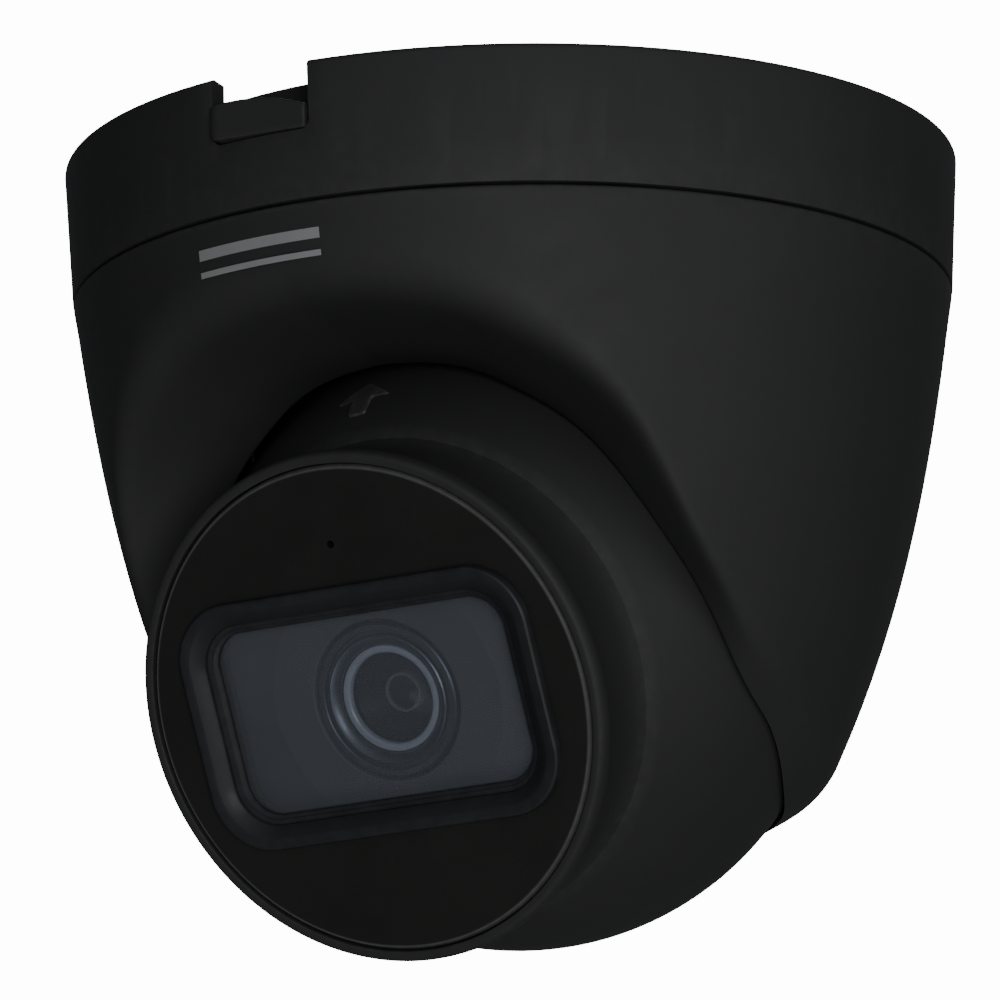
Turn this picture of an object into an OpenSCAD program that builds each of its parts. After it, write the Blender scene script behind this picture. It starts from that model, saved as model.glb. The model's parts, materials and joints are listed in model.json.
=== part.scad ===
// Ceiling eyeball security camera: a ball with the lens, held in a cover that turns on a fixed base.
// The origin is the centre of the ceiling face, +Z points up into the ceiling, and the lens looks
// towards -Y and down.

/* [Overall] */
// Diameter of the base at the ceiling
base_d = 93.4; // [84:0.2:106]
// Height of the base from the ceiling to the parting line
base_h = 14.2; // [13:0.2:17]
// Height of the cover below the parting line
cover_h = 55.5; // [50:0.5:60]
// Diameter of the ball
ball_d = 65.4; // [58:0.2:68]
// Downward tilt of the lens at rest, in degrees
rest_tilt = 24.25; // [15:0.25:50]

/* [Base] */
// Wall thickness of the base and the cover
wall = 2.2; // [1.6:0.1:3]
// Inward draft of the base wall over its height
base_draft = 0.75; // [0:0.05:1.5]
// Thickness of the base plate
plate_t = 2.5; // [1.8:0.1:3.5]
// Depth of the cable space above the base plate
cable_space_h = 8.5; // [7.5:0.1:9.5]
// Diameter of the centre hole for the cable
cable_hole_d = 44; // [30:1:46]
// Diameter of the circle of ceiling screws
screw_circle_d = 58; // [56:0.5:60]
// Diameter of the ceiling screw holes
screw_hole_d = 4.6; // [3.5:0.1:5.5]
// Number of ceiling screws
screw_count = 3; // [2:1:4]
// Width of the side cable notch
notch_w = 11.4; // [8:0.2:13]
// Depth of the side cable notch
notch_h = 7.1; // [5:0.1:7.4]

/* [Pan bearing] */
// Outer diameter of the bearing collar under the base
collar_d = 70; // [69:0.2:72]
// Radial clearance of the running fits
run_fit = 0.05; // [0.02:0.01:0.1]
// Gap between pieces that move past each other
gap = 0.3; // [0.25:0.05:0.5]
// Thickness of the carrier ring
carrier_t = 2.5; // [2:0.1:3.2]

/* [Face] */
// Distance of the face plate from the ball centre
face_d = 31.6; // [30:0.2:34]
// Radius of the round face plate
face_r = 25.17; // [24.6:0.1:26]
// Width of the window glass that shows
window_w = 33.9; // [30:0.1:34.5]
// Height of the window glass that shows
window_h = 19.1; // [17:0.1:19.6]
// Width of the rim of the window bezel on each side
bezel_w = 3.5; // [3:0.1:3.8]
// Height of the bezel above the face plate
bezel_h = 0.9; // [0.5:0.1:1.5]

/* [Lens] */
// Diameter of the lens thread
lens_thread_d = 12; // [10:0.5:13]
// Diameter of the lens head
lens_head_d = 16; // [15:0.2:16.6]
// Diameter of the clear front glass
lens_glass_d = 10.2; // [8:0.1:11]
// Depth of the lens head behind the face plate
lens_depth = 4.4; // [4:0.1:6]

/* [Electronics] */
// Side of the square sensor board
sensor_board_w = 35; // [32:0.5:36]
// Radius of the round main board
main_board_r = 21.2; // [18:0.2:21.4]
// Thickness of the circuit boards
board_t = 1.6; // [1:0.1:2]
// Distance from the main board to the sensor board
board_gap = 8.4; // [7:0.1:9]

/* [Hidden] */
$fn = 96;
eps = 0.01;          // overlap that joins the solids of one piece
far = 200;           // longer than any piece

// Base
base_r = base_d / 2;
base_low_r = base_r - base_draft;
edge_r = 0.6;                                  // rounding of the top outer edge
ring_r = base_r - 7.7;                         // outer radius of the inner ring wall
ring_t = 1.8;
ring_gap_w = 14;                               // opening of the ring for the cable, at the back
plate_z = -cable_space_h;
boss_d = screw_hole_d + 4.4;
countersink_h = 2;
countersink_d = screw_hole_d + 3.4;
notch_r = 1;                                   // rounding of the notch corners

// Pan bearing
collar_r = collar_d / 2;
collar_wall = 2.1;
washer_t = 1;
washer_w = 2;
carrier_top = -base_h - 0.7;
carrier_low = carrier_top - carrier_t;
clip_t = 1.2;
clip_groove = 0.8;
clip_proud = 1.8;
clip_top = carrier_low - gap;
collar_low = clip_top - clip_t - 1;

// Screws
screw_angles_4 = [45, 135, 225, 315];
pilot_r = 0.9;
clear_r = 1.3;
shank_r = 0.88;
head_r = 2;
head_h = 1.3;
board_pilot_r = 0.8;
board_clear_r = 1.1;
board_shank_r = 0.78;
board_head_r = 1.7;
board_head_h = 1.1;
slot_w = 0.4;                                  // cross slot in a screw head
slot_depth = 0.4;

// Cover
cover_top = -base_h - gap;
cover_low = -base_h - cover_h - gap;
spigot_h = 2.2;
spigot_t = 1.4;
spigot_foot_h = 1.6;                           // solid foot that joins the spigot to the wall
spigot_r = base_low_r - wall - gap - 0.1;
carrier_r = spigot_r - 2;
boss_ring_r = spigot_r - 3.75;                 // screw posts that carry the carrier ring
post_d = 5;
carrier_angles = screw_angles_4;
carrier_post_h = 9.5;
pilot_h = 7;

// Ball
ball_r = ball_d / 2;
ball_z = carrier_low + 0.1 - ball_r;               // the ball's top reaches just into the carrier ring
lip_gap = gap;
top_gap = 1.6;                                 // the opening stands further off above the lens
ball_wall = 2.2;
shell_in_r = ball_r - ball_wall;
split_d = -10;                                 // plane where the two ball shells meet
split_in_r = sqrt(shell_in_r * shell_in_r - split_d * split_d);
spigot_out_r = split_in_r - 0.15;              // collar of the rear shell that centres the front one
neck_d = sqrt(ball_r * ball_r - (face_r + 1) * (face_r + 1));
rim_r = face_r + 1.35;
rim_front = face_d + 0.1;
plate_face_t = 2;
ledge_t = 1.6;
ledge_r = face_r - 4.17;
fit = 0.1;                                     // clearance around pieces that are set in a pocket

// Seat above the ball
seat_out_r = 21;
seat_in_r = 15;
seat_top = ball_z + sqrt(pow(ball_r + gap, 2) - pow(seat_in_r, 2)) + 2.4;
seat_low = ball_z + sqrt(pow(ball_r + gap, 2) - pow(seat_out_r, 2)) + 0.5;
seat_lug_t = 2;
seat_lug_z = collar_low - 2 * gap - 0.2;
seat_angles = [10, 55, 125, 170];              // measured from +X towards the back
seat_post_r = collar_r + 2.6;
seat_post_d = 5;
seat_post_h = 13;
rubber_in_r = 16.8;
rubber_out_r = 19.2;
rubber_top = seat_top - 1.4;
cable_slot_w = 13;

// Shell screws
shell_screw_r = 24.8;
shell_screw_angles = [90, 210, 330];
shell_post_d = 6;
shell_head_d = 4.6;
shell_head_h = 2;
shell_head_z = -14;
seal_r = (split_in_r + sqrt(ball_r * ball_r - split_d * split_d)) / 2;
seal_t = 0.84;

// Window
window_r = 3.6;
tube_w = window_w + 5.1;                       // bezel tube that passes through the face plate
tube_h = window_h + 4.5;
tube_r = 5.6;
tube_t = 0.8;
bezel_out_w = window_w + 2 * bezel_w + 0.4;
bezel_out_h = window_h + 2 * bezel_w - 0.3;
bezel_r = 6.5;
glass_w = tube_w - 2 * tube_t - 2 * fit;
glass_h = tube_h - 2 * tube_t - 2 * fit;
glass_r = tube_r - tube_t - fit;
glass_t = 1.5;
glass_front = face_d - 1.2;
gasket_t = 0.8;
gasket_front = glass_front - glass_t;
baffle_front = gasket_front - gasket_t;
baffle_t = 1.2;

// Lens stack, as distances from the ball centre along the optical axis
lens_front = face_d - lens_depth;
head_low = lens_front - 4.8;
lens_pocket = 4.4;                             // depth of the front glass's seat
lens_cone = 1.2;
lens_cone_r = lens_head_d / 2 - 0.9;
lens_bore_r = 3.6;
rear_bore_r = 4.1;
rear_bore_top = 14.5;
front_curve_r = 9;
middle_glass = [17, 20];
middle_curve_r = 7;
rear_glass = [11.6, 14.3];
rear_curve_r = 12;
glass_ease = 0.05;
thread_r = lens_thread_d / 2;
barrel_low = 11;
holder_top = head_low - 4;
sensor_face = 7.6;
holder_foot = 22;
holder_foot_t = 2;
lock_ring_t = 2;
lock_ring_w = 2.8;
holder_wall = 2;
holder_foot_h = holder_foot_t + 1;
sensor_room = [12, 11, 1.8];                   // room in the holder's foot for the sensor
sensor_board_z = sensor_face - board_t;
main_board_top = sensor_board_z - board_gap;
main_board_low = main_board_top - board_t;
board_post = sensor_board_w / 2 - 3;
spacer_at = 11;
spacer_r = 2;
board_post_r = 2.5;
sensor_w = 9.6;
sensor_h = 8.6;
sensor_t = 1.1;
filter_w = 8.4;
filter_room_w = filter_w + 0.2;
filter_t = 0.8;
filter_low = sensor_face + 1.9;
board_corner_r = 2;
header_w = 12;
header_t = 3.4;
header_y = 14.5;
chip_w = 11;
chip_t = 1.2;
pad_t = 0.5;
sink_w = 14;
sink_foot_t = 1.5;
sink_h = 6;
fin_t = 0.8;
fin_step = 2.2;
socket_w = 12;
socket_t = 5;
socket_h = 4;
socket_y = -15.2;
socket_wall = 0.8;

// Gland on the optical axis at the back of the ball
gland_r = 6.45;
gland_flange_r = 8.5;
gland_flange_t = 1.1;
gland_hole_d = 5.4;
gland_seat = -ball_r + 2.7;
gland_inner = gland_seat + 4.5;

// Lights and microphone behind the face plate
led_board_r = 22.6;
led_board_front = face_d - plate_face_t - ledge_t;
led_board_t = 1.4;
led_x = 7;
led_y = -16.3;
led_r = 2.5;
led_base_t = 0.6;
led_dome_r = 1.5;
mic_y = 17.1;
mic_hole_r = 0.4;
mic_r = 2;
mic_t = 1;
boot_r = 2.9;
boot_hole_r = 0.5;
light_sensor_x = 9;
light_sensor_y = mic_y - 2.4;
light_sensor_w = 2;
light_sensor_h = 1.4;
light_sensor_t = 0.9;

// Height of the cover's lower edge over the ball centre, for an azimuth from the lens direction
edge_top = ball_r - 5.2;
edge_low = cover_low - ball_z;
edge_mid_angle = 58;
edge_power = 3.9;
function edge_z(a) = edge_low + (edge_top - edge_low) / (1 + pow(a / edge_mid_angle, edge_power));

// Outer radius of the cover at a share t of its height, from its top down
cover_taper = 8;
cover_bulge = 8;
cover_curve = 2.7;
cover_straight = 0.93;                         // share of the height above the rounded lip
cover_lip_w = 5.5;
function cover_r(t) = base_low_r - 0.1 - cover_taper * t - cover_bulge * pow(t, cover_curve);
function cover_z(t) = cover_top + t * (cover_low - cover_top);
function cover_share(z) = (cover_top - z) / (cover_top - cover_low);

// Round opening that the ball looks out of, along the highest line of sight
min_tilt = 6.25;
sight_r = rim_r + 0.7;

module ring(r_out, r_in, z_low, z_high) {
  difference() {
    translate([0, 0, z_low]) cylinder(r = r_out, h = z_high - z_low);
    translate([0, 0, z_low - 1]) cylinder(r = r_in, h = z_high - z_low + 2);
  }
}

module rod(r, z_low, z_high) {
  translate([0, 0, z_low]) cylinder(r = r, h = z_high - z_low);
}

module round_plate(w, h, r, z_low, z_high) {
  translate([0, 0, z_low]) linear_extrude(z_high - z_low) {
    square([w - 2 * r, h], center = true);
    square([w, h - 2 * r], center = true);
    for (x = [-1, 1], y = [-1, 1])
      translate([x * (w / 2 - r), y * (h / 2 - r)]) circle(r);
  }
}

module round_frame(w, h, r, w_in, h_in, r_in, z_low, z_high) {
  difference() {
    round_plate(w, h, r, z_low, z_high);
    round_plate(w_in, h_in, r_in, z_low - 1, z_high + 1);
  }
}

module around(angles, radius) {
  for (a = angles) rotate([0, 0, a]) translate([radius, 0, 0]) children();
}

// The ball's own frame: +Z along the optical axis, +Y up in the picture
module in_ball() {
  translate([0, 0, ball_z]) rotate([90 + rest_tilt, 0, 0]) children();
}

// ---- Base ----

module mounting_base() {
  color("#242426") difference() {
    union() {
      rotate_extrude() polygon(concat(
        [[base_low_r - wall, -base_h], [base_low_r, -base_h], [base_r, -edge_r]],
        [for (a = [15:15:90]) [base_r - edge_r * (1 - cos(a)), -edge_r * (1 - sin(a))]],
        [[base_low_r - wall, 0]]
      ));
      ring(ring_r, ring_r - ring_t, plate_z - eps, 0);
      ring(base_low_r - wall + eps, cable_hole_d / 2, plate_z - plate_t, plate_z);
      ring(collar_r, collar_r - collar_wall, collar_low, plate_z - plate_t + eps);
      ring(collar_r + washer_w, collar_r - eps, carrier_top + washer_t + gap, plate_z - plate_t + eps);
      around(screw_angles(), screw_circle_d / 2) rod(boss_d / 2, plate_z - eps, 0);
    }
    around(screw_angles(), screw_circle_d / 2) {
      rod(screw_hole_d / 2, -far, far);
      rod(countersink_d / 2, -far, plate_z - plate_t + countersink_h);
    }
    ring(collar_r + 1, collar_r - clip_groove, clip_top - clip_t - eps, clip_top + eps);
    translate([-notch_w / 2, -far, -notch_h + notch_r]) cube([notch_w, far - ring_r - 1, far]);
    translate([-notch_w / 2 + notch_r, -far, -notch_h]) cube([notch_w - 2 * notch_r, far - ring_r - 1, far]);
    for (x = [-1, 1])
      translate([x * (notch_w / 2 - notch_r), -ring_r - 1, -notch_h + notch_r])
        rotate([90, 0, 0]) cylinder(r = notch_r, h = far);
    translate([-ring_gap_w / 2, ring_r - 4, plate_z]) cube([ring_gap_w, 5, far]);
  }
}

function screw_angles() = [for (i = [0:screw_count - 1]) 90 + i * 360 / screw_count];

plug_r = 5.1;
plug_y = -base_r - 1.5 + plug_r;
plug_h = 3.6;
plug_low = -notch_h + 0.12;

module notch_plug() {
  color("#26262a") difference() {
    union() {
      intersection() {
        translate([0, plug_y, plug_low]) cylinder(r = plug_r, h = plug_h);
        translate([-far / 2, -far, -far / 2]) cube([far, far - base_r + wall / 2, far]);
      }
      translate([-plug_r + 0.2, -base_r + wall / 2 - eps, plug_low])
        cube([2 * plug_r - 0.4, base_r - ring_r - wall / 2 - 1.5, plug_h]);
    }
    translate([0, -base_r + wall + 1.4, plug_low + plug_h / 2])
      cube([2 * plug_r - 3.4, 2, plug_h + 1], center = true);
  }
}

module friction_washer() {
  color("#b8b8b4")
    ring(collar_r + washer_w, collar_r + run_fit, carrier_top + gap, carrier_top + gap + washer_t);
}

module retaining_ring() {
  color("#9a9c9e") difference() {
    ring(collar_r + clip_proud, collar_r - clip_groove + run_fit, clip_top - clip_t, clip_top);
    translate([0, collar_r, clip_top]) cube([6, 8, 6], center = true);
  }
}

// ---- Cover ----

module cover_outline(inset, rise) {
  end_r = cover_r(cover_straight) - inset;
  end_z = cover_z(cover_straight);
  polygon(concat(
    [[0, cover_top + rise], [cover_r(0) - inset, cover_top + rise]],
    [for (t = [0.1:0.1:0.9]) [cover_r(t) - inset, cover_z(t)]],
    [for (a = [0:18:90]) [end_r - cover_lip_w * (1 - cos(a)), end_z - (end_z - cover_low) * sin(a)]],
    [[0, cover_low]]
  ));
}

// Everything below the cover's wavy lower edge, raised by lift
module below_edge(lift) {
  edge = [for (a = [0:9:180])
    let (z = ball_z + edge_z(a)) [-cover_r(cover_share(z)) * cos(a), z + lift]];
  rotate([90, 0, 90]) translate([0, 0, -far / 2]) linear_extrude(far)
    polygon(concat([[-far, -far], [-far, edge[0][1]]], edge, [[far, edge[20][1]], [far, -far]]));
}

module sight_line(r) {
  translate([0, 0, ball_z]) rotate([90 + min_tilt, 0, 0]) cylinder(r = r, h = far);
}

module ball_space() {
  translate([0, 0, ball_z]) sphere(r = ball_r + lip_gap);
  translate([0, -top_gap * 0.8, ball_z + top_gap * 0.6]) sphere(r = ball_r + lip_gap + 0.3);
}

module cover_shell() {
  color("#232325") difference() {
    union() {
      difference() {
        rotate_extrude() cover_outline(0, 0);
        difference() {
          rotate_extrude() cover_outline(wall, 1);
          below_edge(wall);
          sight_line(sight_r + wall);
        }
        below_edge(0);
      }
      ring(spigot_r, spigot_r - spigot_t, cover_top - 3, cover_top + spigot_h);
      ring(cover_r(0) - 0.8, spigot_r - 0.5, cover_top - spigot_foot_h, cover_top);
      around(carrier_angles, boss_ring_r) rod(post_d / 2, carrier_low - carrier_post_h, carrier_low);
      intersection() {
        rotate_extrude() cover_outline(wall / 2, 0);
        around(seat_angles, seat_post_r) {
          rod(seat_post_d / 2, seat_lug_z - seat_lug_t - seat_post_h, seat_lug_z - seat_lug_t);
          translate([0, -1, seat_lug_z - seat_lug_t - seat_post_h])
            cube([base_low_r - seat_post_r, 2, seat_post_h - 1]);
        }
      }
    }
    ball_space();
    sight_line(sight_r);
    around(carrier_angles, boss_ring_r) rod(pilot_r, carrier_low - pilot_h, carrier_low + 1);
    around(seat_angles, seat_post_r) rod(pilot_r, seat_lug_z - seat_lug_t - pilot_h - 1, seat_lug_z);
  }
}

module pan_carrier() {
  color("#3a3a3c") difference() {
    ring(carrier_r, collar_r + run_fit, carrier_low, carrier_top);
    around(carrier_angles, boss_ring_r) rod(clear_r, -far, far);
  }
}

module screw_pan(shaft_r, top_r, length, top_h) {
  slot_l = top_r * 1.4;
  rod(shaft_r, -length, eps);
  difference() {
    rod(top_r, 0, top_h);
    translate([0, 0, top_h]) cube([slot_l, slot_w, 2 * slot_depth], center = true);
    translate([0, 0, top_h]) cube([slot_w, slot_l, 2 * slot_depth], center = true);
  }
}

module carrier_screws() {
  color("#8d8f92") around(carrier_angles, boss_ring_r)
    translate([0, 0, carrier_top]) screw_pan(shank_r, head_r, carrier_t + 5, head_h);
}

module ball_seat() {
  color("#2c2c2e") difference() {
    union() {
      ring(seat_out_r, seat_in_r, seat_low, seat_top);
      around(seat_angles, 0) translate([seat_out_r - 1, -3, seat_lug_z - seat_lug_t])
        cube([seat_post_r - seat_out_r + 1, 6, seat_lug_t]);
      around(seat_angles, seat_post_r) rod(seat_post_d / 2 + 0.3, seat_lug_z - seat_lug_t, seat_lug_z);
    }
    translate([0, 0, ball_z]) sphere(r = ball_r + 2 * gap);
    ring(rubber_out_r, rubber_in_r, -far, rubber_top);
    around(seat_angles, seat_post_r) rod(clear_r, -far, far);
    translate([-cable_slot_w / 2, 0, -far]) cube([cable_slot_w, far, far]);
  }
}

module friction_ring() {
  color("#1b1b1b") difference() {
    ring(rubber_out_r, rubber_in_r, seat_low - 2, rubber_top);
    translate([0, 0, ball_z]) sphere(r = ball_r + gap);
    translate([-cable_slot_w / 2, 0, -far]) cube([cable_slot_w, far, far]);
  }
}

module seat_screws() {
  color("#8d8f92") around(seat_angles, seat_post_r)
    translate([0, 0, seat_lug_z]) screw_pan(shank_r, head_r, seat_lug_t + 6, head_h);
}

// ---- Ball ----

module cable_gland() {
  color("#1a1a1a") in_ball() difference() {
    union() {
      rod(gland_flange_r, gland_seat - gap - gland_flange_t, gland_seat - gap);
      rod(gland_r, gland_seat - gap - eps, gland_inner + eps);
      rod(gland_flange_r, gland_inner + gap, gland_inner + gap + gland_flange_t);
      rod(gland_r, gland_inner, gland_inner + gap + eps);
    }
    rod(gland_hole_d / 2, -far, far);
  }
}

module ball_half(z_low, z_high, r) {
  intersection() {
    sphere(r = r);
    translate([-far / 2, -far / 2, z_low]) cube([far, far, z_high - z_low]);
  }
}

module ball_front_shell() {
  groove_r = rim_r - 1.65;
  color("#242426") in_ball() difference() {
    union() {
      difference() {
        union() {
          ball_half(split_d, neck_d, ball_r);
          rotate_extrude() polygon([
            [0, neck_d - 1], [face_r + 1, neck_d - 1], [face_r + 1, neck_d], [groove_r + 0.6, neck_d + 0.8],
            [groove_r + 0.1, neck_d + 1.9], [groove_r, neck_d + 3.2], [groove_r + 0.3, neck_d + 5],
            [groove_r + 0.9, neck_d + 7], [rim_r - 0.15, neck_d + 9], [rim_r, rim_front - 1.6],
            [rim_r - 0.1, rim_front - 0.6], [rim_r - 0.5, rim_front], [0, rim_front]
          ]);
        }
        intersection() {
          sphere(r = shell_in_r);
          rod(far, -far, neck_d - 3);
        }
        rod(led_board_r + fit + 0.2, -1, led_board_front);
        rod(ledge_r, 0, far);
        rod(face_r + fit, face_d - plate_face_t, far);
      }
      around(shell_screw_angles, shell_screw_r) intersection() {
        rod(shell_post_d / 2, split_d + 0.2, 15);
        translate([-shell_screw_r, 0, 0]) sphere(r = ball_r - 1);
      }
      around(screw_angles_4, board_post * sqrt(2)) rod(board_post_r, sensor_face, neck_d + 4);
    }
    around(shell_screw_angles, shell_screw_r) rod(pilot_r, split_d - 1, split_d + pilot_h + 2);
    around(screw_angles_4, board_post * sqrt(2)) rod(board_pilot_r, sensor_face - 1, sensor_face + pilot_h);
  }
}

module ball_rear_shell() {
  color("#242426") in_ball() difference() {
    union() {
      difference() {
        ball_half(-far / 2, split_d, ball_r);
        sphere(r = shell_in_r);
      }
      ring(spigot_out_r, spigot_out_r - 1.5, split_d - 2.5, split_d + 3);
      around(shell_screw_angles, shell_screw_r) intersection() {
        rod(shell_post_d / 2, -far, split_d);
        translate([-shell_screw_r, 0, 0]) sphere(r = ball_r - 1);
      }
      intersection() {
        rod(gland_flange_r + 3, -far, gland_inner);
        sphere(r = ball_r);
      }
    }
    around(shell_screw_angles, shell_screw_r) {
      rod(clear_r, -far, far);
      rod(shell_head_d / 2 + fit, -far, shell_head_z);
      rod(shell_post_d / 2 + 3 * fit, split_d, far);
    }
    ring(seal_r + seal_t / 2 + 0.03, seal_r - seal_t / 2 - 0.03, split_d - seal_t, split_d + eps);
    rod(gland_r + run_fit, -far, far);
    rod(gland_flange_r + gap, -far, gland_seat);
  }
}

module shell_seal() {
  color("#151515") in_ball() translate([0, 0, split_d - seal_t / 2]) rotate_extrude()
    translate([seal_r, 0]) circle(seal_t / 2, $fn = 32);
}

module shell_screws() {
  color("#8d8f92") in_ball() around(shell_screw_angles, shell_screw_r)
    translate([0, 0, shell_head_z]) mirror([0, 0, 1])
      screw_pan(shank_r, shell_head_d / 2, split_d - shell_head_z + 7, shell_head_h);
}

module face_plate() {
  color("#101012") in_ball() difference() {
    rod(face_r, face_d - plate_face_t, face_d);
    round_plate(tube_w + 2 * fit, tube_h + 2 * fit, tube_r + fit, 0, far);
    translate([0, mic_y, 0]) rod(mic_hole_r, 0, far);
  }
}

module window_bezel() {
  color("#1a1a1c") in_ball() difference() {
    union() {
      round_plate(bezel_out_w, bezel_out_h, bezel_r, face_d, face_d + bezel_h);
      round_plate(tube_w, tube_h, tube_r, baffle_front - baffle_t, face_d + eps);
    }
    round_plate(window_w + 4, window_h + 3.3, window_r + 1.6, face_d + bezel_h / 2, far);
    round_plate(window_w + 2.6, window_h + 2.2, window_r + 1, glass_front + 0.7, far);
    round_plate(window_w, window_h, window_r, 0, far);
    round_plate(tube_w - 2 * tube_t, tube_h - 2 * tube_t, tube_r - tube_t, 0, glass_front);
  }
}

module window_glass() {
  color("#3a4450") in_ball() round_plate(glass_w, glass_h, glass_r, glass_front - glass_t, glass_front);
}

module window_gasket() {
  color("#141414") in_ball() round_frame(glass_w, glass_h, glass_r,
    window_w + 0.6, window_h + 0.6, window_r, baffle_front, gasket_front);
}

module lens_baffle() {
  color("#1c1f24") in_ball() difference() {
    round_plate(glass_w, glass_h, glass_r, baffle_front - baffle_t, baffle_front);
    rod(lens_head_d / 2 + 0.4, 0, far);
  }
}

module lens_barrel() {
  color("#202328") in_ball() difference() {
    union() {
      rod(lens_head_d / 2, head_low, lens_front);
      rod(thread_r - fit / 2, barrel_low, head_low + eps);
    }
    rod(lens_glass_d / 2 + fit / 2, lens_front - lens_pocket, far);
    rotate_extrude() polygon([[0, lens_front - lens_cone], [lens_glass_d / 2, lens_front - lens_cone],
      [lens_cone_r, lens_front + eps], [lens_cone_r, lens_front + 1], [0, lens_front + 1]]);
    rod(lens_bore_r, rear_bore_top - 0.5, far);
    rod(rear_bore_r, 0, rear_bore_top);
  }
}

module lens_glass(r, curve_r, z_low, z_high) {
  intersection() {
    rod(r, z_low, z_high);
    translate([0, 0, z_high - curve_r]) sphere(r = curve_r);
  }
}

module lens_front_element() {
  color("#4b5766") in_ball()
    lens_glass(lens_glass_d / 2, front_curve_r, lens_front - lens_pocket, lens_front - lens_cone - fit);
}

module lens_middle_element() {
  color("#4b5766") in_ball()
    lens_glass(lens_bore_r - glass_ease, middle_curve_r, middle_glass[0], middle_glass[1]);
}

module lens_rear_element() {
  color("#4b5766") in_ball() lens_glass(rear_bore_r - glass_ease, rear_curve_r, rear_glass[0], rear_glass[1]);
}

module lens_lock_ring() {
  color("#2a2a2a") in_ball()
    ring(thread_r + lock_ring_w, thread_r + fit / 2, holder_top, holder_top + lock_ring_t);
}

module lens_holder() {
  color("#1d1d1d") in_ball() difference() {
    union() {
      translate([0, 0, sensor_face]) linear_extrude(holder_foot_h)
        square(holder_foot, center = true);
      rod(thread_r + holder_wall, sensor_face + 1, holder_top);
    }
    translate([0, 0, sensor_face - 1]) linear_extrude(sensor_room[2] + 1)
      square([sensor_room[0], sensor_room[1]], center = true);
    translate([0, 0, filter_low - 0.2]) linear_extrude(filter_t + 0.3) square(filter_room_w, center = true);
    rod(thread_r, filter_low + filter_t + 0.1, far);
    rod(lens_bore_r, sensor_face, far);
  }
}

module ir_cut_filter() {
  color("#7a3540") in_ball() translate([0, 0, filter_low]) linear_extrude(filter_t)
    square(filter_w, center = true);
}

module image_sensor() {
  color("#3d3f48") in_ball() translate([0, 0, sensor_face]) linear_extrude(sensor_t)
    square([sensor_w, sensor_h], center = true);
}

module sensor_board() {
  color("#1f4a2c") in_ball() difference() {
    round_plate(sensor_board_w, sensor_board_w, board_corner_r, sensor_board_z, sensor_face);
    around(screw_angles_4, board_post * sqrt(2)) rod(board_clear_r, -far, far);
    around(screw_angles_4, spacer_at * sqrt(2)) rod(board_clear_r, -far, far);
  }
}

module board_spacers() {
  color("#c9a961") in_ball() around(screw_angles_4, spacer_at * sqrt(2))
    ring(spacer_r, board_pilot_r, main_board_top, sensor_board_z);
}

module board_screws() {
  color("#8d8f92") in_ball() {
    around(screw_angles_4, board_post * sqrt(2)) translate([0, 0, sensor_board_z]) mirror([0, 0, 1])
      screw_pan(board_shank_r, board_head_r, board_t + 5, board_head_h);
    around(screw_angles_4, spacer_at * sqrt(2)) translate([0, 0, main_board_low]) mirror([0, 0, 1])
      screw_pan(board_shank_r, board_head_r, board_t + 4, board_head_h);
  }
}

module main_board() {
  color("#1f4a2c") in_ball() difference() {
    rod(main_board_r, main_board_low, main_board_top);
    around(screw_angles_4, spacer_at * sqrt(2)) rod(board_clear_r, -far, far);
  }
}

module board_header() {
  color("#101010") in_ball() translate([0, header_y, main_board_top]) linear_extrude(board_gap)
    square([header_w, header_t], center = true);
}

module processor_chip() {
  color("#17181a") in_ball() translate([0, 0, main_board_low - chip_t]) linear_extrude(chip_t)
    square(chip_w, center = true);
}

module thermal_pad() {
  color("#7d8aa0") in_ball() translate([0, 0, main_board_low - chip_t - pad_t]) linear_extrude(pad_t)
    square(chip_w, center = true);
}

module heat_sink() {
  color("#9fa2a6") in_ball() {
    top = main_board_low - chip_t - pad_t;
    translate([0, 0, top - sink_foot_t]) linear_extrude(sink_foot_t) square(sink_w, center = true);
    for (i = [-3:3]) translate([i * fin_step, 0, top - sink_h])
      linear_extrude(sink_h - sink_foot_t + eps) square([fin_t, sink_w], center = true);
  }
}

module cable_socket() {
  color("#e4e2da") in_ball() translate([0, socket_y, main_board_low - socket_h]) difference() {
    linear_extrude(socket_h) square([socket_w, socket_t], center = true);
    translate([0, 0, -1]) linear_extrude(socket_h)
      square([socket_w - 2 * socket_wall, socket_t - 2 * socket_wall], center = true);
  }
}

module ir_led_board() {
  color("#16251a") in_ball() difference() {
    rod(led_board_r, led_board_front - led_board_t, led_board_front);
    round_plate(tube_w + 4 * fit, tube_h + 4 * fit, tube_r + 2 * fit, 0, far);
  }
}

module ir_leds() {
  color("#5b4f66") in_ball() for (x = [-1, 1]) translate([x * led_x, led_y, led_board_front]) {
    rod(led_r, 0, led_base_t);
    intersection() {
      sphere(r = led_dome_r);
      rod(led_r, 0, led_dome_r + 1);
    }
  }
}

module microphone() {
  color("#a9a9ab") in_ball() translate([0, mic_y, led_board_front]) rod(mic_r, 0, mic_t);
}

module microphone_boot() {
  color("#181818") in_ball() translate([0, mic_y, led_board_front]) difference() {
    rod(boot_r, 0, ledge_t);
    rod(mic_r + 0.02, -1, mic_t + 0.02);
    rod(boot_hole_r, -1, far);
  }
}

module light_sensor() {
  color("#c8c4b8") in_ball() translate([light_sensor_x, light_sensor_y, led_board_front])
    linear_extrude(light_sensor_t) square([light_sensor_w, light_sensor_h], center = true);
}

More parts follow.
